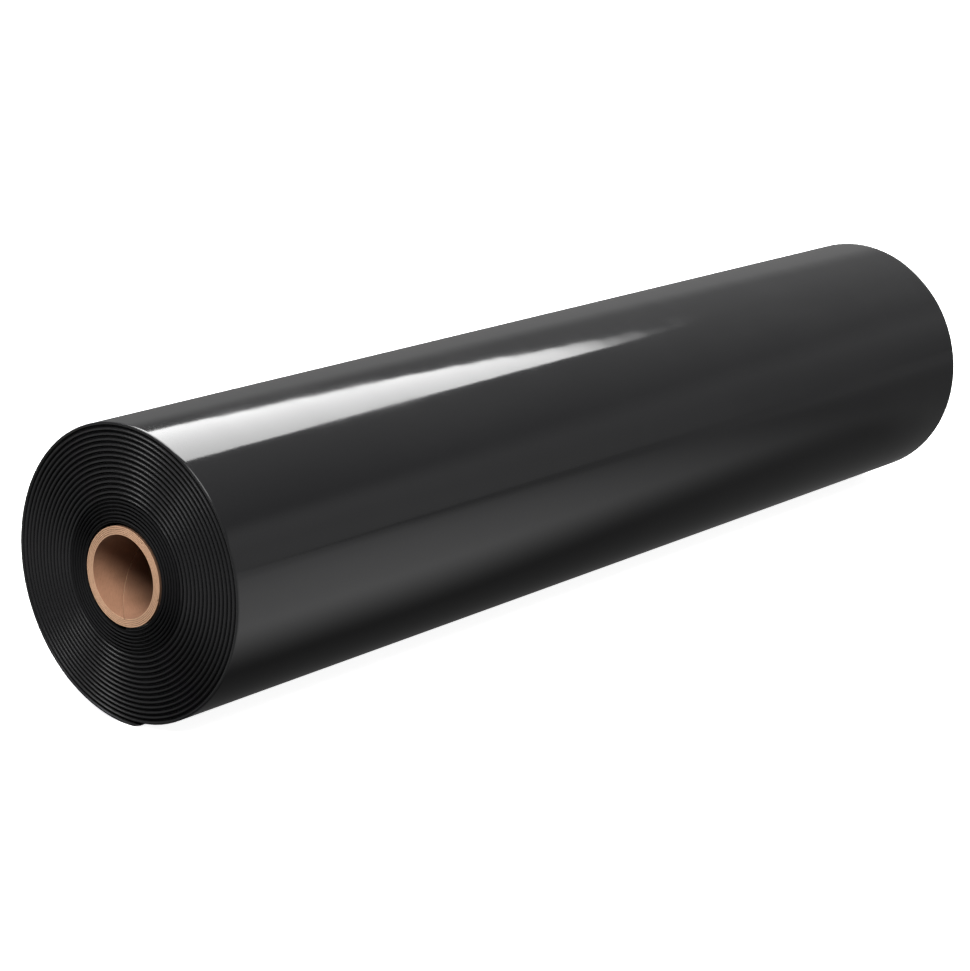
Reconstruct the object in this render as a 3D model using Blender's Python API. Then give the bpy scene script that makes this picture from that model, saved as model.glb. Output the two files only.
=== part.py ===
# A jumbo roll of black sign vinyl, lying on its side.
# The web is a face film on a release liner, wound face out on a paperboard core and held to it by tape.
# Units are metres. The roll's axis runs along X, the end in front is at -X, and the roll rests on z = 0.
# Sections are drawn about the axis, and every piece hangs on one empty that sets the axis in its place.
# A turn modelled here stands for a bundle of the real, much thinner turns.
import math
from collections import namedtuple

import bmesh
import bpy
import numpy as np

# Driving sizes of the core, a tube of board plies wound on a helix
CORE_BORE = 0.0770
CORE_PROUD = 0.0005
PLY_COUNT = 5
PLY_THICKNESS = 0.00134
PLY_GAP = 0.0003
PLY_LEAD = 0.200
SEAM_GAP = 0.0008

# Driving sizes of the starter tape, between the core and the first turn
TAPE_THICKNESS = 0.0005
TAPE_WIDTH = 0.050
TAPE_OVERLAP = 0.040
TAPE_MARGIN = 0.004
TAPE_GAP = 0.0003

# Driving sizes of the wound web; its inner end has slipped along the axis, towards the end in front
WEB_WIDTH = 1.220
WEB_SLIP = 0.0035
LINER_THICKNESS = 0.0006
LINER_INSET = 0.0015
TURN_GAP = 0.00045
INNER_TURNS = 7
INNER_PITCH = 0.0034
OUTER_TURNS = 14
OUTER_PITCH = 0.00473
FREE_END_ANGLE = math.radians(-1.0)
FREE_END_BEVEL = 0.009
FREE_END_TOE = 0.0006
REST_FLAT_DEPTH = 0.0005

# Facets: points to a turn, and to the last turn, which shows
TURN_POINTS = 24
LAST_TURN_POINTS = 48
SMOOTH_ANGLE = math.radians(40.0)

# Least gap allowed between turns, parts that a facet is cut into to measure it, and rounds to find the flat
LEAST_GAP_ALLOWED = 0.0004
GAP_PART_COUNT = 4
FLAT_ROUND_COUNT = 5

# Sizes that follow from the driving ones
CORE_RADIUS = CORE_BORE / 2 + PLY_COUNT * PLY_THICKNESS + (PLY_COUNT - 1) * PLY_GAP
CORE_LENGTH = WEB_WIDTH + WEB_SLIP + CORE_PROUD
CORE_MIDDLE = (WEB_WIDTH - CORE_LENGTH) / 2
TAPE_RADIUS = CORE_RADIUS + TAPE_GAP
WEB_START_RADIUS = TAPE_RADIUS + TAPE_THICKNESS + TAPE_GAP
TURNS = INNER_TURNS + OUTER_TURNS
FACET_ANGLE = 2 * math.pi / TURN_POINTS
HALF_TURN = 1 / 2

# Rows of points closer than these are left out, in turns for the web and in radians for the core
WEB_ROW_SPARE = 1 / (3 * LAST_TURN_POINTS)
CORE_ROW_SPARE = math.radians(0.3)

# One row of a sheet's section: how far along the winding, and the points (y, z) of its two faces
Station = namedtuple("Station", "turn inner outer")


def winding_radius(turn):
    """Radius of the liner's inner face after so many turns: close turns first, then wider ones."""
    close = min(turn, INNER_TURNS)
    wide = max(turn - INNER_TURNS, 0)
    return WEB_START_RADIUS + close * INNER_PITCH + wide * OUTER_PITCH


def liner_faces(turn):
    inner = winding_radius(turn)
    return inner, inner + LINER_THICKNESS


def film_faces(turn):
    """The film fills what the liner leaves of the pitch, less a gap on either side of it."""
    inner = winding_radius(turn) + LINER_THICKNESS + TURN_GAP
    outer = winding_radius(turn + 1) - TURN_GAP
    return inner, outer


ROLL_RADIUS = film_faces(TURNS)[1]
AXIS_HEIGHT = ROLL_RADIUS - REST_FLAT_DEPTH


def place(radius, angle):
    """Point (y, z) about the axis, at an angle from straight down, positive towards +Y."""
    return radius * math.sin(angle), -radius * math.cos(angle)


def facet_radius(radius, angle):
    """Radius of the faceted round at an angle, so that a point put in mid-facet stays on the facet."""
    from_corner = (angle - FREE_END_ANGLE) % FACET_ANGLE
    half = FACET_ANGLE / 2
    return radius * math.cos(half) / math.cos(from_corner - half)


def turn_angle(turn):
    """The web runs down the +Y side towards its free end, under the roll."""
    return FREE_END_ANGLE + 2 * math.pi * (TURNS - turn)


def web_middle(turn):
    """Middle of the web's width along the axis: the turns lie ever less slipped towards the outside."""
    return -WEB_SLIP * (1 - min(turn / TURNS, 1))


def turn_count(angle):
    return TURNS - (angle - FREE_END_ANGLE) / (2 * math.pi)


def rest_flat_turns():
    """Turn counts at the two edges of the resting flat, where the film's outer face meets the floor."""
    edges = []
    for side in (1, -1):
        angle = 0.0
        for _ in range(FLAT_ROUND_COUNT):
            outer = film_faces(turn_count(angle))[1]
            angle = side * math.acos(AXIS_HEIGHT / outer)
        edges.append(turn_count(angle))
    return [edge for edge in edges if edge < TURNS]


def winding_stations():
    """Turn counts at which the web has a row of points, denser on the last turn."""
    inner_count = (TURNS - 1) * TURN_POINTS
    stations = [k / TURN_POINTS for k in range(inner_count)]
    stations += [TURNS - 1 + k / LAST_TURN_POINTS for k in range(LAST_TURN_POINTS + 1)]
    flat_edges = rest_flat_turns()
    kept = [turn for turn in stations if turn == TURNS or not near_any(turn, flat_edges, WEB_ROW_SPARE)]
    return sorted(kept + flat_edges)


def near_any(value, others, spare):
    return any(abs(value - other) < spare for other in others)


def loft_rings(name, rings, material, axis):
    """Closed body through rings of points, with its two ends capped. A ring may be a single edge."""
    mesh = bpy.data.meshes.new(name)
    shape = bmesh.new()
    rows = [[shape.verts.new(point) for point in ring] for ring in rings]
    for near, far in zip(rows, rows[1:]):
        if len(near) == len(far):
            for k in range(len(near)):
                after = (k + 1) % len(near)
                shape.faces.new((near[k], near[after], far[after], far[k]))
        else:
            join_tip(shape, near, far)
    for row, backwards in ((rows[0], True), (rows[-1], False)):
        if len(row) > 2:
            shape.faces.new(row[::-1] if backwards else row)
    bmesh.ops.recalc_face_normals(shape, faces=shape.faces)
    shape.to_mesh(mesh)
    shape.free()
    mesh.shade_smooth()
    mesh.set_sharp_from_angle(angle=SMOOTH_ANGLE)
    mesh.materials.append(material)
    piece = bpy.data.objects.new(name, mesh)
    piece.parent = axis
    bpy.context.scene.collection.objects.link(piece)
    return piece


def join_tip(shape, near, far):
    """Faces between a ring of four (inner low, inner high, outer high, outer low) and a tip edge."""
    tip, ring = (near, far) if len(near) == 2 else (far, near)
    inner_tip, outer_tip = tip
    inner_low, inner_high, outer_high, outer_low = ring
    shape.faces.new((inner_tip, inner_low, inner_high))
    shape.faces.new((outer_tip, outer_high, outer_low))
    shape.faces.new((inner_tip, outer_tip, outer_low, inner_low))
    shape.faces.new((inner_tip, inner_high, outer_high, outer_tip))


def finish_material(name, colour, roughness):
    material = bpy.data.materials.new(name)
    material.use_nodes = True
    shader = material.node_tree.nodes["Principled BSDF"]
    shader.inputs["Base Color"].default_value = (*colour, 1.0)
    shader.inputs["Roughness"].default_value = roughness
    shader.inputs["Metallic"].default_value = 0.0
    material.diffuse_color = (*colour, 1.0)
    return material


def liner_section():
    """The liner's stations."""
    section = []
    for turn in winding_stations():
        angle = turn_angle(turn)
        inner, outer = liner_faces(turn)
        section.append(Station(turn, place(inner, angle), place(outer, angle)))
    return section


def film_section():
    """The film's stations, with the resting flat and the bevelled free end."""
    section = []
    for turn in winding_stations():
        angle = turn_angle(turn)
        inner, outer = film_faces(turn)
        y, z = place(outer, angle)
        section.append(Station(turn, place(inner, angle), (y, max(z, -AXIS_HEIGHT))))
    inner = film_faces(TURNS)[0]
    toe_turn = TURNS + FREE_END_BEVEL / (2 * math.pi * inner)
    toe_angle = turn_angle(toe_turn)
    section.append(Station(toe_turn, place(inner, toe_angle), place(inner + FREE_END_TOE, toe_angle)))
    return section


def wound_sheet(name, section, width, material, axis):
    half = width / 2
    rings = []
    for station in section:
        middle = web_middle(station.turn)
        rings.append((
            (middle - half, *station.inner),
            (middle + half, *station.inner),
            (middle + half, *station.outer),
            (middle - half, *station.outer),
        ))
    return loft_rings(name, rings, material, axis)


def points_along(corners, turns):
    """Points along a face with each stretch cut into equal parts, and the turn count at each."""
    index = np.arange(len(corners))
    at = np.linspace(0, len(corners) - 1, (len(corners) - 1) * GAP_PART_COUNT + 1)
    ys, zs = np.array(corners).T
    points = np.stack([np.interp(at, index, ys), np.interp(at, index, zs)], axis=1)
    return points, np.interp(at, index, turns)


def least_gap(below, above, turns_apart):
    """Least distance from a sheet's outer face to the inner face that lies so far, or more, beyond it."""
    outer_points, outer_turns = points_along([row.outer for row in below], [row.turn for row in below])
    inner_points, inner_turns = points_along([row.inner for row in above], [row.turn for row in above])
    least = math.inf
    for point, turn in zip(outer_points, outer_turns):
        facing = inner_points[inner_turns >= turn + turns_apart]
        if len(facing):
            least = min(least, np.linalg.norm(facing - point, axis=1).min())
    return least


def helix_ply(name, inner_radius, first_angle, material, axis):
    """One board strip wound on a helix and cut square at both ends of the core."""
    near_end = CORE_MIDDLE - CORE_LENGTH / 2
    far_end = CORE_MIDDLE + CORE_LENGTH / 2
    strip = PLY_LEAD - SEAM_GAP
    lead_rate = PLY_LEAD / (2 * math.pi)

    def low_edge(angle):
        return near_end + lead_rate * (angle - first_angle) - strip

    def angle_at(low):
        return first_angle + (low - near_end + strip) / lead_rate

    corners = [angle_at(low) for low in (near_end - strip, near_end, far_end - strip, far_end)]
    first_step = math.ceil((corners[0] - FREE_END_ANGLE) / FACET_ANGLE)
    last_step = math.floor((corners[-1] - FREE_END_ANGLE) / FACET_ANGLE)
    steps = [FREE_END_ANGLE + FACET_ANGLE * k for k in range(first_step, last_step + 1)]
    angles = sorted(corners + [angle for angle in steps if not near_any(angle, corners, CORE_ROW_SPARE)])
    outer_radius = inner_radius + PLY_THICKNESS
    rings = []
    for angle in angles:
        low = max(low_edge(angle), near_end)
        high = min(low_edge(angle) + strip, far_end)
        inner = place(facet_radius(inner_radius, angle), angle)
        outer = place(facet_radius(outer_radius, angle), angle)
        if angle == angles[0]:
            rings.append(((near_end, *inner), (near_end, *outer)))
        elif angle == angles[-1]:
            rings.append(((far_end, *inner), (far_end, *outer)))
        else:
            rings.append(((low, *inner), (high, *inner), (high, *outer), (low, *outer)))
    return loft_rings(name, rings, material, axis)


def ply_name(index):
    if index == 0:
        return "core_inner_ply"
    if index == PLY_COUNT - 1:
        return "core_outer_ply"
    return f"core_body_ply_{index}"


def build_core(kraft, board, axis):
    for index in range(PLY_COUNT):
        inner_radius = CORE_BORE / 2 + index * (PLY_THICKNESS + PLY_GAP)
        seam_angle = 2 * math.pi * index / PLY_COUNT
        face_ply = index in (0, PLY_COUNT - 1)
        helix_ply(ply_name(index), inner_radius, seam_angle, kraft if face_ply else board, axis)


def build_starter_tape(tape, axis):
    """Strip along the core under the web's inner end, most of it beneath the web."""
    near_end = web_middle(0) - WEB_WIDTH / 2 + TAPE_MARGIN
    far_end = web_middle(0) + WEB_WIDTH / 2 - TAPE_MARGIN
    web_end = turn_angle(0)
    start = web_end - TAPE_OVERLAP / TAPE_RADIUS
    stop = start + TAPE_WIDTH / TAPE_RADIUS
    first_step = math.ceil((start - FREE_END_ANGLE) / FACET_ANGLE)
    last_step = math.floor((stop - FREE_END_ANGLE) / FACET_ANGLE)
    steps = [FREE_END_ANGLE + FACET_ANGLE * k for k in range(first_step, last_step + 1)]
    inside = [angle for angle in steps if not near_any(angle, (start, stop), CORE_ROW_SPARE)]
    rings = []
    for angle in [start, *inside, stop]:
        inner = place(facet_radius(TAPE_RADIUS, angle), angle)
        outer = place(facet_radius(TAPE_RADIUS + TAPE_THICKNESS, angle), angle)
        rings.append(((near_end, *inner), (far_end, *inner), (far_end, *outer), (near_end, *outer)))
    return loft_rings("starter_tape", rings, tape, axis)


def build_web(liner_finish, film_finish, axis):
    liner = liner_section()
    film = film_section()
    wound_sheet("release_liner", liner, WEB_WIDTH - 2 * LINER_INSET, liner_finish, axis)
    wound_sheet("face_film", film, WEB_WIDTH, film_finish, axis)
    gaps = {
        "release_liner to itself": least_gap(liner, liner, HALF_TURN),
        "face_film to itself": least_gap(film, film, HALF_TURN),
        "release_liner to face_film": least_gap(liner, film, -HALF_TURN),
        "face_film to release_liner": least_gap(film, liner, HALF_TURN),
    }
    for pair, gap in gaps.items():
        print(f"least gap, {pair}: {gap * 1000:.3f} mm")
    if min(gaps.values()) < LEAST_GAP_ALLOWED:
        print("the turns lie too close")


def roll_axis():
    """Empty on the roll's axis, set so that the roll's box stands over the origin."""
    sides = [station.outer[0] for station in film_section()]
    axis = bpy.data.objects.new("roll_axis", None)
    axis.location = (-CORE_MIDDLE, -(min(sides) + max(sides)) / 2, AXIS_HEIGHT)
    bpy.context.scene.collection.objects.link(axis)
    return axis


def main():
    for old in list(bpy.data.objects):
        bpy.data.objects.remove(old, do_unlink=True)
    kraft = finish_material("kraft_face_ply", (0.58, 0.36, 0.21), 0.75)
    board = finish_material("grey_brown_board", (0.50, 0.32, 0.19), 0.85)
    tape = finish_material("clear_tape", (0.75, 0.72, 0.62), 0.35)
    liner_finish = finish_material("dark_release_liner", (0.02, 0.02, 0.022), 0.6)
    film_finish = finish_material("gloss_black_film", (0.012, 0.012, 0.013), 0.2)
    axis = roll_axis()
    build_core(kraft, board, axis)
    build_starter_tape(tape, axis)
    build_web(liner_finish, film_finish, axis)
    print(f"roll radius {ROLL_RADIUS * 1000:.2f} mm, core radius {CORE_RADIUS * 1000:.2f} mm")
    x, y, z = (1000 * step for step in axis.location)
    print(f"axis at x {x:.3f} mm, y {y:.3f} mm, z {z:.3f} mm")


main()
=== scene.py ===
# Looks of the roll of black sign vinyl: wound film and liner, spiral-wound board core, white studio
import math
import random
from collections import namedtuple

import bmesh
import bpy
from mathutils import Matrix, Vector


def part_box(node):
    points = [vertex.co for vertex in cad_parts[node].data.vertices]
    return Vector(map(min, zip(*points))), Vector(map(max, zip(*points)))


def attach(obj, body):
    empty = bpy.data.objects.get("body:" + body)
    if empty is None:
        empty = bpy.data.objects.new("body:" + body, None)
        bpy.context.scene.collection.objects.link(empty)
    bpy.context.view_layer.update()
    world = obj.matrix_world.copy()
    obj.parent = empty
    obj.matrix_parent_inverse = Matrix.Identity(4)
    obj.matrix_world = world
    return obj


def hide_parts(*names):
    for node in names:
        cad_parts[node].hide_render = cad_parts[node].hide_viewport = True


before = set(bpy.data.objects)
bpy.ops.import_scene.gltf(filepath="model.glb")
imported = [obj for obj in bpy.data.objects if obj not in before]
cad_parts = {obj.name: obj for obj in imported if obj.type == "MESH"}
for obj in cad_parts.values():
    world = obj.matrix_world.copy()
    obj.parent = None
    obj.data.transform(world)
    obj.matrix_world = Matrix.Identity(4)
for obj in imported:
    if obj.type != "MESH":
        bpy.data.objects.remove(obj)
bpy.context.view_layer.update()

# A value that grows smoothly from 0 at one place to its share at another
Fade = namedtuple("Fade", "share start end")

# Sizes of the winding, as in the part's own source
WEB_WIDTH = 1.220
WEB_SLIP = 0.0035
INNER_TURNS = 7
INNER_PITCH = 0.0034
OUTER_TURNS = 14
OUTER_PITCH = 0.00473
TURNS = INNER_TURNS + OUTER_TURNS
TURN_GAP = 0.00045
LINER_THICKNESS = 0.0006
FREE_END_ANGLE = math.radians(-1.0)
FREE_END_BEVEL = 0.009
FREE_END_TOE = 0.0006

# The core's plies from the bore outward, and their material slots
PLY_NODES = ("core_inner_ply", "core_body_ply_1", "core_body_ply_2", "core_body_ply_3", "core_outer_ply")
PLY_SLOTS = ("kraft_face_ply", "core_board", "core_board", "core_board", "kraft_face_ply")

# Sizes of the core and its starter tape, as in the part's own source
CORE_BORE = 0.0770
PLY_THICKNESS = 0.00134
PLY_GAP = 0.0003
PLY_LEAD = 0.200
SEAM_GAP = 0.0008
TAPE_THICKNESS = 0.0005
TAPE_WIDTH = 0.050
TAPE_OVERLAP = 0.040
TAPE_GAP = 0.0003

# How finely the rounds are drawn: points to a turn, along the tape, and across a rounded edge
FILM_POINTS = 96
LINER_POINTS = 96
PLY_POINTS = 72
TAPE_POINTS = 24
BEAD_POINTS = 9
SMOOTH_ANGLE = math.radians(40.0)
WELD_GAP = 1e-7

# How the cut edges sit at the ends of the roll
EDGE_ROUNDNESS = 1.5
EDGE_SHARPNESS = 1.3
EDGE_SHOULDER = 0.002
RIM_EASE = 0.0010
RIM_TURNS_IN = 0.04
LINER_INSET = 0.0024
FIRST_LINER_INSET = 0.0005
FIRST_LINER_TURNS = 0.5
PLY_EDGE_ROUND = 0.00018
PLY_EDGE_SEGMENTS = 2
PLY_EDGE_ANGLE = math.radians(60.0)

# How far the cut edges wander, and the slow waves that they wander on
EDGE_WANDER = 0.00035
WAVE_COUNT = 5
WAVE_RATES = (0.11, 0.9)
FILM_SEEDS = (11, 12)
LINER_SEEDS = (21, 22)

# The film's three finishes, and how far a face turns towards the end of the roll before it counts as cut
GLOSS, CUT_EDGE, CLOSE_EDGE = range(3)
EDGE_TURN = 0.2
RIM_TURN = 0.3

# Where the frame puts the roll
core_low, core_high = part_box("core_inner_ply")
film_low, film_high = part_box("face_film")
tape_low, tape_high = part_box("starter_tape")
AXIS_Y = (core_low.y + core_high.y) / 2
AXIS_Z = (core_low.z + core_high.z) / 2
FAR_RIM = film_high.x
NEAR_RIM = FAR_RIM - WEB_WIDTH
REST_Z = film_low.z
CORE_RADIUS = CORE_BORE / 2 + len(PLY_NODES) * (PLY_THICKNESS + PLY_GAP) - PLY_GAP
TAPE_RADIUS = CORE_RADIUS + TAPE_GAP
WEB_START_RADIUS = TAPE_RADIUS + TAPE_THICKNESS + TAPE_GAP

BLACK = (0.0, 0.0, 0.0)
WHITE = (1.0, 1.0, 1.0)

# The film's face: gloss as an index of refraction, colours, roughness and depths of its relief
FILM_IOR = 1.4
FILM_DARK = (0.0055, 0.0055, 0.006)
FILM_PALE = (0.0075, 0.0075, 0.008)
FILM_ROUGHNESS = 0.06
STREAK_ROUGHNESS = 0.04
SMUDGE_ROUGHNESS = Fade(0.05, 0.45, 0.7)
PEEL_DEPTH = 0.000012
BAND_DEPTH = 0.0005

# The film's cut edges: shade of the palest grain, roughness and sheen, and the knife's marks
Edge = namedtuple("Edge", "shade roughness sheen")
WIDE_TURN_EDGE = Edge(0.013, 0.24, 0.21)
CLOSE_TURN_EDGE = Edge(0.011, 0.5, 0.05)
EDGE_PALE_TINT = (1.0, 1.0, 1.04)
EDGE_DARK_TINT = (0.53, 0.53, 0.56)
KNIFE_ROUGHNESS = 0.12
KNIFE_DEPTH = 0.00003

# The liner's paper: dark, and darkened further to paint the shade in the grooves between the film's edges
LINER_DARK = (0.003, 0.003, 0.0032)
LINER_PALE = (0.006, 0.006, 0.0063)
LINER_ROUGHNESS = 0.6
LINER_FIBRE_ROUGHNESS = 0.2
LINER_SHEEN = 0.15
LINER_FIBRE_DEPTH = 0.00008

# The core's board: its faces in the bore, in the wall and outside, with painted shade darkening the outside,
# and its saw-cut ends
Board = namedtuple("Board", "pale dark fleck")
BORE_KRAFT = Board((0.29, 0.152, 0.092), (0.225, 0.116, 0.069), (0.12, 0.06, 0.036))
WALL_BOARD = Board((0.30, 0.16, 0.095), (0.22, 0.115, 0.068), (0.11, 0.06, 0.035))
# Painted shade: the outside ply is much darker than the rest of the board, standing in for shade in the gap
# under the winding
OUTSIDE_KRAFT_PAINTED_SHADE = Board((0.10, 0.053, 0.032), (0.075, 0.04, 0.024), (0.05, 0.027, 0.016))
SAW_CUT_PALE = (0.635, 0.395, 0.252)
SAW_CUT_DARK = (0.51, 0.30, 0.187)
FIBRE_SHARE = 0.6
CLOUD_SHARE = 0.4
BOARD_SHADES = (0.32, 0.68)
FLECKS = Fade(0.55, 0.66, 0.74)
SAW_SHADES = (0.3, 0.72)
BOARD_ROUGHNESS = 0.62
BOARD_FIBRE_ROUGHNESS = 0.22
BOARD_SHEEN = 0.3
BOARD_DEPTH = 0.00012
SAW_DEPTH_GAIN = 2.0
END_CUT_TURN = (0.35, 0.8)

# The starter tape
TAPE_DARK = (0.52, 0.49, 0.40)
TAPE_PALE = (0.68, 0.65, 0.56)
TAPE_ROUGHNESS = 0.28
TAPE_RIPPLE_ROUGHNESS = 0.2
TAPE_RIPPLE_DEPTH = 0.00004

# The studio floor
FLOOR_DARK = (0.90, 0.90, 0.90)
FLOOR_PALE = (0.93, 0.93, 0.93)
FLOOR_GRAIN = 7.0
FLOOR_ROUGHNESS = 0.75
FLOOR_GRAIN_ROUGHNESS = 0.15
FLOOR_SHEEN = 0.1
FLOOR_LIGHT = 0.93


class Wire:
    """A socket's value in a finish. Arithmetic on it adds Math nodes."""

    def __init__(self, finish, socket):
        self.finish = finish
        self.socket = socket

    def maths(self, operation, first, second=0.0):
        return self.finish.node("ShaderNodeMath", {"operation": operation}, {0: first, 1: second})

    def __add__(self, other):
        return self.maths("ADD", self, other)

    def __radd__(self, other):
        return self.maths("ADD", other, self)

    def __sub__(self, other):
        return self.maths("SUBTRACT", self, other)

    def __rsub__(self, other):
        return self.maths("SUBTRACT", other, self)

    def __mul__(self, other):
        return self.maths("MULTIPLY", self, other)

    def __rmul__(self, other):
        return self.maths("MULTIPLY", other, self)

    def __pow__(self, other):
        return self.maths("POWER", self, other)

    def __rpow__(self, other):
        return self.maths("POWER", other, self)

    def __neg__(self):
        return self.maths("SUBTRACT", 0.0, self)

    def __abs__(self):
        return self.maths("ABSOLUTE", self)


class Finish:
    """A procedural material on a Principled shader, or the nodes of the world."""

    def __init__(self, name, owner=None):
        self.material = owner or bpy.data.materials.new(name)
        self.material.use_nodes = True
        self.tree = self.material.node_tree
        self.shader = self.tree.nodes.get("Principled BSDF")

    def link(self, socket, value):
        if isinstance(value, Wire):
            self.tree.links.new(value.socket, socket)
        elif isinstance(value, tuple) and len(value) == 3 and socket.type == "RGBA":
            socket.default_value = (*value, 1.0)
        else:
            socket.default_value = value

    def node(self, kind, settings=None, sockets=None, output=0):
        """Any node: its settings first, then the values or links of its sockets."""
        made = self.tree.nodes.new(kind)
        for name, value in (settings or {}).items():
            if name == "stops":
                self.set_stops(made, value)
            else:
                setattr(made, name, value)
        for name, value in (sockets or {}).items():
            self.link(made.inputs[name], value)
        return Wire(self, made.outputs[output])

    def set_stops(self, ramp, stops):
        elements = ramp.color_ramp.elements
        while len(elements) < len(stops):
            elements.new(1.0)
        for element, (place, colour) in zip(elements, stops):
            element.position = place
            element.color = (*colour, 1.0)

    def put(self, **values):
        """Set or link the shader's sockets, with an underscore for each space in a name."""
        for name, value in values.items():
            self.link(self.shader.inputs[name.replace("_", " ")], value)

    def vector(self, x, y, z):
        return self.node("ShaderNodeCombineXYZ", None, {"X": x, "Y": y, "Z": z})

    def split(self, vector):
        """A vector's X, Y and Z."""
        first = self.node("ShaderNodeSeparateXYZ", None, {"Vector": vector})
        return [Wire(self, socket) for socket in first.socket.node.outputs]

    def place(self):
        """Position on the piece, in metres, as X, Y and Z."""
        return self.split(self.node("ShaderNodeTexCoord", output="Object"))

    def about_axis(self):
        """Distance along the roll, and the angle and radius about its axis."""
        x, y, z = self.place()
        across = y - AXIS_Y
        up = z - AXIS_Z
        angle = self.node("ShaderNodeMath", {"operation": "ARCTAN2"}, {0: across, 1: up})
        radius = (across * across + up * up) ** 0.5
        return x, angle, radius

    def noise(self, vector, detail, roughness):
        sockets = {"Vector": vector, "Scale": 1.0, "Detail": detail, "Roughness": roughness}
        return self.node("ShaderNodeTexNoise", None, sockets)

    def grain(self, where, along, around, outward, detail, roughness):
        """Noise about the roll's axis, with its own fineness in each direction."""
        x, angle, radius = where
        return self.noise(self.vector(x * along, angle * around, radius * outward), detail, roughness)

    def grade(self, value, low, high):
        """From 0 at low to 1 at high, smoothly."""
        sockets = {"Value": value, "From Min": low, "From Max": high}
        return self.node("ShaderNodeMapRange", {"interpolation_type": "SMOOTHSTEP"}, sockets)

    def fade(self, value, fade):
        """From 0 at the fade's start to its share at its end, smoothly."""
        return fade.share * self.grade(value, fade.start, fade.end)

    def blend(self, share, first, second):
        """Two colours mixed by a share."""
        sockets = {0: share, 6: first, 7: second}
        return self.node("ShaderNodeMix", {"data_type": "RGBA"}, sockets, output=2)

    def bump(self, height, distance, normal=None):
        sockets = {"Height": height, "Distance": distance}
        if normal:
            sockets["Normal"] = normal
        return self.node("ShaderNodeBump", None, sockets)

    def end_cut(self):
        """1 on faces cut square across the roll, 0 along it."""
        along, _, _ = self.split(self.node("ShaderNodeNewGeometry", output="Normal"))
        return self.grade(abs(along), *END_CUT_TURN)

    def shine(self, glow, strength=1.0):
        """A grey glow, with no colour of the surface's own."""
        grey = self.vector(glow, glow, glow)
        self.put(Base_Color=BLACK, Emission_Color=grey, Emission_Strength=strength)


def tinted(tint, shade):
    return tuple(part * shade for part in tint)


def gloss_black_film():
    """Calendered gloss film: fine orange peel, slow gauge bands and faint streaks round the roll."""
    finish = Finish("gloss_black_film")
    where = finish.about_axis()
    streaks = finish.grain(where, along=60.0, around=1.5, outward=40.0, detail=4.0, roughness=0.6)
    smudge = finish.grain(where, along=5.0, around=2.0, outward=8.0, detail=3.0, roughness=0.55)
    bands = finish.grain(where, along=9.0, around=0.35, outward=0.0, detail=2.0, roughness=0.5)
    peel = finish.grain(where, along=420.0, around=60.0, outward=420.0, detail=1.0, roughness=0.5)
    finish.put(
        Base_Color=finish.blend(smudge, FILM_DARK, FILM_PALE),
        Roughness=FILM_ROUGHNESS + STREAK_ROUGHNESS * streaks + finish.fade(smudge, SMUDGE_ROUGHNESS),
        IOR=FILM_IOR,
        Normal=finish.bump(peel, PEEL_DEPTH, finish.bump(bands, BAND_DEPTH)),
    )
    return finish.material


def film_cut_edge(name, edge):
    """The knife-cut edges of the turns: duller than the face, with fine marks round the roll."""
    finish = Finish(name)
    where = finish.about_axis()
    knife = finish.grain(where, along=20.0, around=40.0, outward=900.0, detail=3.0, roughness=0.6)
    dark = tinted(EDGE_DARK_TINT, edge.shade)
    pale = tinted(EDGE_PALE_TINT, edge.shade)
    finish.put(
        Base_Color=finish.blend(knife, dark, pale),
        Roughness=edge.roughness + KNIFE_ROUGHNESS * knife,
        IOR=FILM_IOR,
        Specular_IOR_Level=edge.sheen,
        Normal=finish.bump(knife, KNIFE_DEPTH),
    )
    return finish.material


def liner_paper_and_groove_shade():
    """Siliconed release paper seen at its cut edge: dark, fibrous and dull, darkened further as painted shade
    in the grooves.
    """
    finish = Finish("liner_paper_and_groove_shade")
    where = finish.about_axis()
    fibre = finish.grain(where, along=300.0, around=120.0, outward=1500.0, detail=3.0, roughness=0.6)
    finish.put(
        Base_Color=finish.blend(fibre, LINER_DARK, LINER_PALE),
        Roughness=LINER_ROUGHNESS + LINER_FIBRE_ROUGHNESS * fibre,
        Specular_IOR_Level=LINER_SHEEN,
        Normal=finish.bump(fibre, LINER_FIBRE_DEPTH),
    )
    return finish.material


def core_board(name, board):
    """Paperboard: long fibres lying along the strip, darker flecks, a paler fuzzy saw cut."""
    finish = Finish(name)
    where = finish.about_axis()
    x, angle, radius = where
    wound = x * (2 * math.pi / PLY_LEAD)
    strip = (wound + angle, wound - angle, radius)
    fibres = finish.grain(strip, along=30.0, around=4.0, outward=600.0, detail=5.0, roughness=0.65)
    cloud = finish.grain(where, along=14.0, around=1.4, outward=120.0, detail=3.0, roughness=0.55)
    specks = finish.grain(where, along=500.0, around=30.0, outward=900.0, detail=2.0, roughness=0.6)
    saw = finish.grain(where, along=40.0, around=22.0, outward=2600.0, detail=4.0, roughness=0.65)
    shade = finish.grade(fibres * FIBRE_SHARE + cloud * CLOUD_SHARE, *BOARD_SHADES)
    plain = finish.blend(shade, board.dark, board.pale)
    face = finish.blend(finish.fade(specks, FLECKS), plain, board.fleck)
    end = finish.blend(finish.grade(saw, *SAW_SHADES), SAW_CUT_DARK, SAW_CUT_PALE)
    cut = finish.end_cut()
    finish.put(
        Base_Color=finish.blend(cut, face, end),
        Roughness=BOARD_ROUGHNESS + BOARD_FIBRE_ROUGHNESS * fibres,
        Specular_IOR_Level=BOARD_SHEEN,
        Normal=finish.bump(fibres * (1 - cut) + saw * cut * SAW_DEPTH_GAIN, BOARD_DEPTH),
    )
    return finish.material


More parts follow.
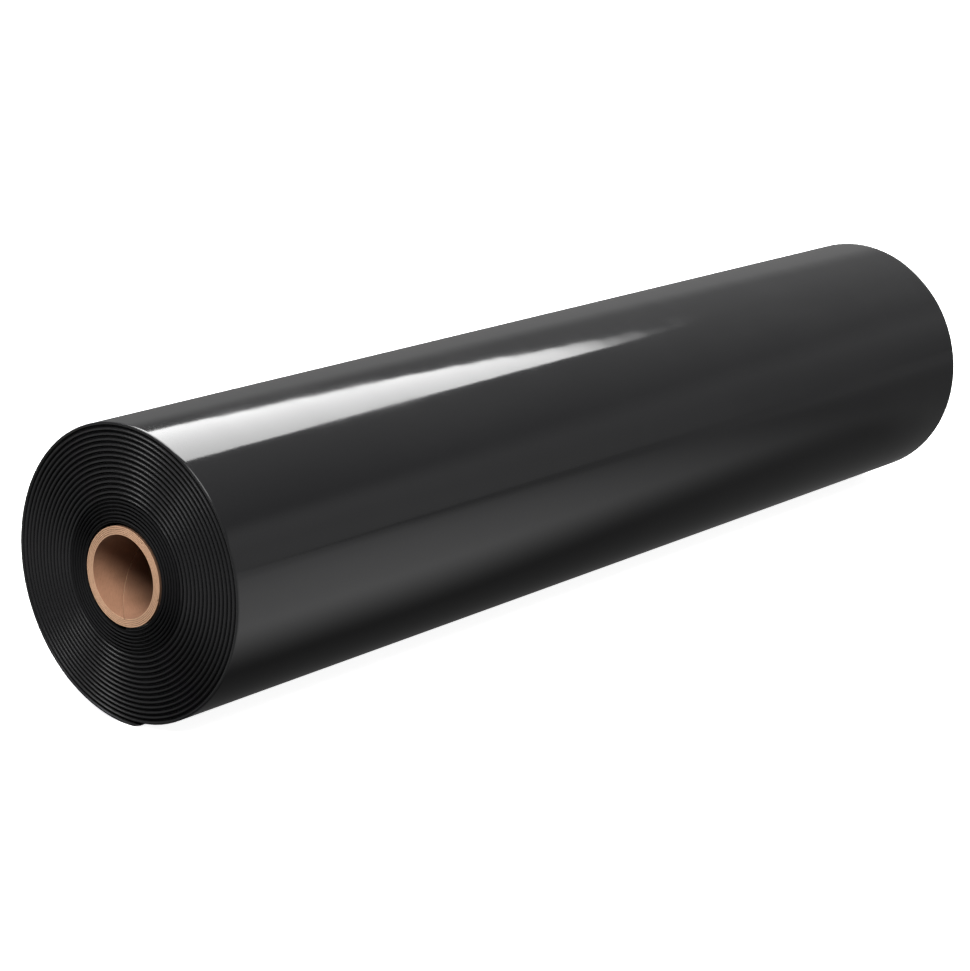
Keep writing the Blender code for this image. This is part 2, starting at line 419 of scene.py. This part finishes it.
def clear_tape():
    """Double-sided tape with faint cross ripples."""
    finish = Finish("clear_tape")
    where = finish.about_axis()
    ripple = finish.grain(where, along=220.0, around=9.0, outward=30.0, detail=3.0, roughness=0.5)
    finish.put(
        Base_Color=finish.blend(ripple, TAPE_DARK, TAPE_PALE),
        Roughness=TAPE_ROUGHNESS + TAPE_RIPPLE_ROUGHNESS * ripple,
        Normal=finish.bump(ripple, TAPE_RIPPLE_DEPTH),
    )
    return finish.material


def studio_floor_paint():
    """White floor that glows, so that only a faint shadow is left on it."""
    finish = Finish("studio_floor_paint")
    x, y, _ = finish.place()
    grain = finish.noise(finish.vector(x * FLOOR_GRAIN, y * FLOOR_GRAIN, 0.0), detail=4.0, roughness=0.6)
    finish.put(
        Base_Color=finish.blend(grain, FLOOR_DARK, FLOOR_PALE),
        Roughness=FLOOR_ROUGHNESS + FLOOR_GRAIN_ROUGHNESS * grain,
        Specular_IOR_Level=FLOOR_SHEEN,
        Emission_Color=WHITE,
        Emission_Strength=FLOOR_LIGHT,
    )
    return finish.material


def winding_radius(turn):
    """Radius of the liner's inner face after so many turns."""
    close = min(turn, INNER_TURNS)
    wide = max(turn - INNER_TURNS, 0)
    return WEB_START_RADIUS + close * INNER_PITCH + wide * OUTER_PITCH


def film_faces(turn):
    """Radii of the film's inner and outer faces after so many turns."""
    inner = winding_radius(turn) + LINER_THICKNESS + TURN_GAP
    return inner, winding_radius(turn + 1) - TURN_GAP


def turn_angle(turn):
    """Angle from straight down, positive towards +Y; the web runs down the +Y side to its free end."""
    return FREE_END_ANGLE + 2 * math.pi * (TURNS - turn)


def spot(x, radius, angle):
    """A point about the roll's axis, no lower than the floor."""
    z = AXIS_Z - radius * math.cos(angle)
    return x, AXIS_Y + radius * math.sin(angle), max(z, REST_Z)


def smooth_step(value):
    value = min(max(value, 0.0), 1.0)
    return value * value * (3 - 2 * value)


def waves_for(seed):
    """A handful of slow waves, as rates and phases, the same each run."""
    draw = random.Random(seed)
    return [(draw.uniform(*WAVE_RATES), draw.uniform(0.0, 2 * math.pi)) for _ in range(WAVE_COUNT)]


def drift(turn, waves):
    """Sum of slow waves along the winding, between 0 and 1."""
    swing = sum(math.sin(2 * math.pi * rate * turn + phase) for rate, phase in waves)
    return 0.5 + 0.5 * swing / len(waves)


def skin(name, rings, finishes, replaced):
    """Closed body lofted through rings of points, capped at both ends, riding on the roll."""
    mesh = bpy.data.meshes.new(name)
    shape = bmesh.new()
    rows = [[shape.verts.new(point) for point in ring] for ring in rings]
    count = len(rows[0])
    for near, far in zip(rows, rows[1:]):
        for k in range(count):
            after = (k + 1) % count
            shape.faces.new((near[k], near[after], far[after], far[k]))
    shape.faces.new(rows[0][::-1])
    shape.faces.new(rows[-1])
    bmesh.ops.remove_doubles(shape, verts=shape.verts, dist=WELD_GAP)
    bmesh.ops.recalc_face_normals(shape, faces=shape.faces)
    shape.to_mesh(mesh)
    shape.free()
    mesh.shade_smooth()
    mesh.set_sharp_from_angle(angle=SMOOTH_ANGLE)
    for finish in finishes:
        mesh.materials.append(finish)
    piece = bpy.data.objects.new(name, mesh)
    bpy.context.scene.collection.objects.link(piece)
    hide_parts(replaced)
    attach(piece, "root")
    return piece


def edge_rounds(inner, outer, rim_share):
    """A rounded cut edge as (distance back from the edge, radius), crisper outside where it is the rim."""
    middle = (inner + outer) / 2
    half = (outer - inner) / 2
    depth = EDGE_ROUNDNESS * half
    rim_depth = depth + (min(depth, RIM_EASE) - depth) * rim_share
    rounds = [(depth + EDGE_SHOULDER, inner)]
    for k in range(BEAD_POINTS):
        angle = math.pi * (k / (BEAD_POINTS - 1) - 0.5)
        reach = rim_depth if angle > 0 else depth
        back = reach * (1 - abs(math.cos(angle)) ** EDGE_SHARPNESS)
        side = math.copysign(abs(math.sin(angle)) ** EDGE_SHARPNESS, angle)
        rounds.append((back, middle + half * side))
    rounds.append((rim_depth + EDGE_SHOULDER, outer))
    return rounds


def film_finish(centre, tilt):
    """Which of the film's finishes a face takes, from its centre and its tilt towards an end."""
    across = centre.y - AXIS_Y
    down = AXIS_Z - centre.z
    radius = math.hypot(across, down)
    rim_turn = TURNS - (math.atan2(across, down) - FREE_END_ANGLE) / (2 * math.pi) % 1
    on_rim = radius > sum(film_faces(rim_turn)) / 2
    if abs(tilt) < (RIM_TURN if on_rim else EDGE_TURN):
        return GLOSS
    return CUT_EDGE if radius > winding_radius(INNER_TURNS) else CLOSE_EDGE


def web_edges(turn, near_waves, far_waves):
    """Where the web's two cut edges lie along X: the inner turns have slipped towards the near end."""
    slip = WEB_SLIP * (1 - min(turn / TURNS, 1))
    near = NEAR_RIM - slip + EDGE_WANDER * drift(turn, near_waves)
    far = FAR_RIM - slip - EDGE_WANDER * drift(turn, far_waves)
    return near, far


def wound_film(face, edge, close_edge):
    """The film: one spiral with rounded edges, ending in a bevelled toe under the roll."""
    near_waves, far_waves = [waves_for(seed) for seed in FILM_SEEDS]
    stations = []
    for k in range(TURNS * FILM_POINTS + 1):
        turn = k / FILM_POINTS
        stations.append((turn, *film_faces(turn)))
    toe_inner, _ = film_faces(TURNS)
    toe_turn = TURNS + FREE_END_BEVEL / (2 * math.pi * toe_inner)
    stations.append((toe_turn, toe_inner, toe_inner + FREE_END_TOE))
    rings = []
    for turn, inner, outer in stations:
        angle = turn_angle(turn)
        near, far = web_edges(turn, near_waves, far_waves)
        rounds = edge_rounds(inner, outer, smooth_step((turn - TURNS + 1) / RIM_TURNS_IN))
        ring = [spot(near + back, radius, angle) for back, radius in rounds]
        ring += [spot(far - back, radius, angle) for back, radius in reversed(rounds)]
        rings.append(ring)
    film = skin("vinyl_film", rings, (face, edge, close_edge), "face_film")
    for polygon in film.data.polygons:
        polygon.material_index = film_finish(polygon.center, polygon.normal.x)


def wound_liner(finish):
    """The liner: a thinner spiral under the film, set back from its edges after the first turn."""
    near_waves, far_waves = [waves_for(seed) for seed in LINER_SEEDS]
    rings = []
    for k in range(TURNS * LINER_POINTS + 1):
        turn = k / LINER_POINTS
        inner = winding_radius(turn)
        outer = inner + LINER_THICKNESS
        angle = turn_angle(turn)
        deeper = smooth_step(turn - FIRST_LINER_TURNS)
        inset = FIRST_LINER_INSET + (LINER_INSET - FIRST_LINER_INSET) * deeper
        near, far = web_edges(turn, near_waves, far_waves)
        near += inset
        far -= inset
        rings.append((
            spot(near, inner, angle),
            spot(near, outer, angle),
            spot(far, outer, angle),
            spot(far, inner, angle),
        ))
    skin("backing_liner", rings, (finish,), "release_liner")


def helix_ply(name, node, inner_radius, first_angle, finish):
    """One board strip on a helix, cut square at both ends, with its edges eased."""
    strip = PLY_LEAD - SEAM_GAP
    length = core_high.x - core_low.x
    turns = (length + strip) / PLY_LEAD
    count = round(turns * PLY_POINTS)
    corners = (strip / PLY_LEAD, length / PLY_LEAD)
    stations = sorted([turns * k / count for k in range(count + 1)] + list(corners))
    outer_radius = inner_radius + PLY_THICKNESS
    rings = []
    for turn in stations:
        angle = first_angle + 2 * math.pi * turn
        high = core_low.x + PLY_LEAD * turn
        low = max(high - strip, core_low.x)
        high = min(high, core_high.x)
        rings.append((
            spot(low, inner_radius, angle),
            spot(high, inner_radius, angle),
            spot(high, outer_radius, angle),
            spot(low, outer_radius, angle),
        ))
    ply = skin(name, rings, (finish,), node)
    easing = ply.modifiers.new("eased_edges", "BEVEL")
    easing.width = PLY_EDGE_ROUND
    easing.segments = PLY_EDGE_SEGMENTS
    easing.limit_method = "ANGLE"
    easing.angle_limit = PLY_EDGE_ANGLE
    easing.use_clamp_overlap = True


def wound_core(bore, wall, outside):
    """The core's strips, from the bore outward, with their seams staggered."""
    finishes = (bore, wall, wall, wall, outside)
    for index, (node, slot, finish) in enumerate(zip(PLY_NODES, PLY_SLOTS, finishes)):
        inner_radius = CORE_BORE / 2 + index * (PLY_THICKNESS + PLY_GAP)
        first_angle = 2 * math.pi * index / len(PLY_NODES)
        helix_ply(f"wound_{node}", node, inner_radius, first_angle, finish)


def starter_strip(finish):
    """The tape along the core that holds the web's inner end."""
    start = turn_angle(0) - TAPE_OVERLAP / TAPE_RADIUS
    outer = TAPE_RADIUS + TAPE_THICKNESS
    rings = []
    for k in range(TAPE_POINTS + 1):
        angle = start + TAPE_WIDTH / TAPE_RADIUS * k / TAPE_POINTS
        rings.append((
            spot(tape_low.x, TAPE_RADIUS, angle),
            spot(tape_high.x, TAPE_RADIUS, angle),
            spot(tape_high.x, outer, angle),
            spot(tape_low.x, outer, angle),
        ))
    skin("core_starter_tape", rings, (finish,), "starter_tape")


# The camera, fitted to the roll's outline: eye from the near end's centre, angles in radians, lens in mm
EYE_FROM_NEAR_END = Vector((-1.6144, -1.7326, 0.6939))
HEADING = 0.6853
DIP = 0.2546
LENS_MM = 101.81
SENSOR_MM = 36.0


def build_camera():
    data = bpy.data.cameras.new("view")
    data.sensor_width = SENSOR_MM
    data.lens = LENS_MM
    eye = bpy.data.objects.new("view", data)
    eye.location = Vector((NEAR_RIM, AXIS_Y, AXIS_Z)) + EYE_FROM_NEAR_END
    level = math.cos(DIP)
    look = Vector((level * math.cos(HEADING), level * math.sin(HEADING), -math.sin(DIP)))
    eye.rotation_euler = look.to_track_quat("-Z", "Y").to_euler()
    bpy.context.scene.collection.objects.link(eye)
    bpy.context.scene.camera = eye


# The studio: a wide white floor, three soft lights, and glowing panels whose shapes show only in the gloss
CORNERS = ((-1, -1), (1, -1), (1, 1), (-1, 1))
FLOOR_HALF = 30.0
FLOOR_GAP = 0.0002
GLOW_GAP = 0.002

Lamp = namedtuple("Lamp", "name source strength spread")
LAMPS = (
    Lamp("key", Vector((-0.46, -0.45, 0.76)), 4.6, math.radians(30.0)),
    Lamp("overhead", Vector((0.0, -0.5, 1.0)), 1.6, math.radians(60.0)),
    Lamp("fill", Vector((0.85, 0.1, 0.5)), 1.8, math.radians(60.0)),
)

# The long softbox, as corners seen from above; its far end tapers and fades
SOFTBOX_HEIGHT = 2.0
SOFTBOX_OUTLINE = (
    (-0.6, 0.05), (1.10, 0.05), (1.45, 0.10), (2.00, 0.14), (2.42, 0.14), (2.46, 0.30),
    (2.36, 0.45), (2.16, 0.70), (2.06, 1.04), (1.85, 1.38), (1.58, 1.80), (-0.6, 1.80),
)
SOFTBOX_GLOW = 8.9
SOFTBOX_FADE = Fade(0.95, 2.05, 2.42)

# Panels for the ends of the roll: which way they lie, how large they are and how bright in the middle
Panel = namedtuple("Panel", "name towards width height glow")
END_PANELS = (
    Panel("rear_panel", Vector((-0.44, 0.41, 0.80)), 1.75, 1.75, 19.0),
    Panel("front_panel", Vector((-0.60, -0.30, 0.74)), 1.75, 1.75, 10.6),
    Panel("rim_panel", Vector((0.08, -0.38, 0.92)), 1.6, 2.6, 6.0),
    Panel("far_panel", Vector((0.95, 0.10, 0.30)), 1.3, 1.3, 14.0),
)
END_PANEL_FAR = 4.0
PANEL_CORE = 0.2
PANEL_EDGE_GLOW = 0.5

# The floor as the gloss sees it: brighter by the near end and in front, dim where the roll covers it
FLOOR_GLOW_DIM = 0.2
FLOOR_GLOW_SLANT = 0.9
FLOOR_GLOW_NEAR = Fade(1.08, 0.52, -0.72)
FLOOR_GLOW_LOSSES = (Fade(0.2, 0.35, 1.0), Fade(0.32, 0.55, 2.4))
FLOOR_GLOW_FRONT = Fade(0.1, 0.4, 1.2)
COVERED_GLOW = 0.08
COVERED_GLOW_FAR = Fade(0.04, -0.2, 0.6)
COVERED_ACROSS = (0.27, 0.12)
COVERED_ALONG = (0.78, 0.6)
COVERED_WIDER = Fade(0.05, -0.3, 0.5)

# The surroundings: greys by height for the gloss, a paler front, a dimmer patch, and a dim light for the rest
SKY_GREYS = ((0.0, 0.24), (0.1, 0.29), (0.3, 0.45), (0.42, 0.36), (0.57, 0.46), (0.7, 0.57), (1.0, 0.7))
FRONT_GREY = 0.36
FRONT_FACING = (0.5, 0.75)
FRONT_LOSSES = (Fade(0.1, 0.05, 0.2), Fade(0.26, 0.33, 0.42))
PATCH_ALONG = Fade(0.09, 0.86, 0.68)
PATCH_HEIGHT = (0.36, 0.46)
AMBIENT = (0.15, 0.15, 0.15)


def flat_panel(name, outline, height, finish):
    mesh = bpy.data.meshes.new(name)
    mesh.from_pydata([(x, y, height) for x, y in outline], [], [range(len(outline))])
    mesh.materials.append(finish)
    panel = bpy.data.objects.new(name, mesh)
    bpy.context.scene.collection.objects.link(panel)
    return panel


def gloss_only(panel):
    """A panel that shows in reflections and lights nothing else."""
    panel.visible_camera = False
    panel.visible_diffuse = False
    panel.visible_transmission = False
    panel.visible_shadow = False


def floor_corners():
    return [(a * FLOOR_HALF, b * FLOOR_HALF) for a, b in CORNERS]


def build_floor():
    """The floor that the camera sees. It shows in no reflection and throws no light back."""
    floor = flat_panel("studio_floor", floor_corners(), REST_Z - FLOOR_GAP, studio_floor_paint())
    floor.visible_glossy = False
    floor.visible_diffuse = False


def build_floor_glow():
    """The floor that the gloss sees, in place of the one that the camera sees."""
    finish = Finish("floor_glow")
    x, y, _ = finish.place()
    kept = 1
    for loss in FLOOR_GLOW_LOSSES:
        kept = kept - finish.fade(abs(y), loss)
    near = finish.fade(x + FLOOR_GLOW_SLANT * y, FLOOR_GLOW_NEAR) * kept
    open_floor = FLOOR_GLOW_DIM + near + finish.fade(-y, FLOOR_GLOW_FRONT)
    under_roll = COVERED_GLOW + finish.fade(x, COVERED_GLOW_FAR)
    away = abs(y) - finish.fade(x, COVERED_WIDER)
    covered = finish.grade(away, *COVERED_ACROSS) * finish.grade(abs(x), *COVERED_ALONG)
    finish.shine(open_floor + (under_roll - open_floor) * covered)
    finish.put(Specular_IOR_Level=0.0)
    gloss_only(flat_panel("floor_glow", floor_corners(), REST_Z - GLOW_GAP, finish.material))


def build_softbox():
    """The long soft light above the roll, fading towards its far end."""
    finish = Finish("softbox_glow")
    x, _, _ = finish.place()
    finish.shine(1 - finish.fade(x, SOFTBOX_FADE), SOFTBOX_GLOW)
    gloss_only(flat_panel("softbox", SOFTBOX_OUTLINE, SOFTBOX_HEIGHT, finish.material))


def panel_glow(panel):
    """White in the middle of the panel, fading to the grey of the surroundings at its sides."""
    finish = Finish(f"{panel.name}_glow")
    x, y, _ = finish.place()
    across = finish.grade(abs(x), panel.width / 2, panel.width * PANEL_CORE)
    upward = finish.grade(abs(y), panel.height / 2, panel.height * PANEL_CORE)
    finish.shine(PANEL_EDGE_GLOW + (panel.glow - PANEL_EDGE_GLOW) * (across * upward))
    return finish.material


def build_end_panels():
    """Panels that face the ends of the roll, for the sheen on the cut edges."""
    for panel in END_PANELS:
        corners = [(a * panel.width / 2, b * panel.height / 2) for a, b in CORNERS]
        board = flat_panel(panel.name, corners, 0.0, panel_glow(panel))
        end = NEAR_RIM if panel.towards.x < 0 else FAR_RIM
        board.location = Vector((end, AXIS_Y, AXIS_Z)) + END_PANEL_FAR * panel.towards.normalized()
        board.rotation_euler = panel.towards.to_track_quat("Z", "Y").to_euler()
        gloss_only(board)


def build_lights():
    """Far, wide lights that each come from a direction and show in no reflection."""
    for lamp in LAMPS:
        data = bpy.data.lights.new(lamp.name, "SUN")
        data.energy = lamp.strength
        data.angle = lamp.spread
        light = bpy.data.objects.new(lamp.name, data)
        light.rotation_euler = lamp.source.to_track_quat("Z", "Y").to_euler()
        light.visible_glossy = False
        bpy.context.scene.collection.objects.link(light)


def build_world():
    """Greys for the gloss, a dim even light for the rest, and white where the camera sees past the floor."""
    world = bpy.data.worlds.new("studio")
    bpy.context.scene.world = world
    finish = Finish("studio", world)
    x, y, z = finish.split(finish.node("ShaderNodeTexCoord", output="Generated"))
    greys = [(height, (grey, grey, grey)) for height, grey in SKY_GREYS]
    sky = finish.node("ShaderNodeValToRGB", {"stops": greys}, {"Fac": z})
    front = FRONT_GREY
    for loss in FRONT_LOSSES:
        front = front - finish.fade(z, loss)
    front = finish.grade(-y, *FRONT_FACING) * front
    patch = finish.fade(x, PATCH_ALONG) * finish.grade(z, *PATCH_HEIGHT)
    in_gloss = finish.node("ShaderNodeLightPath", output="Is Glossy Ray")
    in_camera = finish.node("ShaderNodeLightPath", output="Is Camera Ray")
    light = finish.blend(in_gloss, AMBIENT, sky + front - patch)
    back = finish.tree.nodes["Background"]
    finish.link(back.inputs["Color"], finish.blend(in_camera, light, WHITE))
    back.inputs["Strength"].default_value = 1.0


def main():
    build_camera()
    wide_edge = film_cut_edge("film_cut_edge", WIDE_TURN_EDGE)
    close_edge = film_cut_edge("close_turn_edge", CLOSE_TURN_EDGE)
    wound_film(gloss_black_film(), wide_edge, close_edge)
    # The liner's near-black edges are partly painted shade in the grooves between the film's turns
    wound_liner(liner_paper_and_groove_shade())
    bore = core_board("kraft_face_ply", BORE_KRAFT)
    wall = core_board("core_wall_board", WALL_BOARD)
    # The outside ply's dark kraft is painted shade for the gap between the core and the winding
    outside = core_board("core_outside_ply_painted_shade", OUTSIDE_KRAFT_PAINTED_SHADE)
    wound_core(bore, wall, outside)
    starter_strip(clear_tape())
    build_floor()
    build_floor_glow()
    build_softbox()
    build_end_panels()
    build_lights()
    build_world()
    scene = bpy.context.scene
    scene.view_settings.view_transform = "Standard"
    scene.view_settings.look = "None"


main()
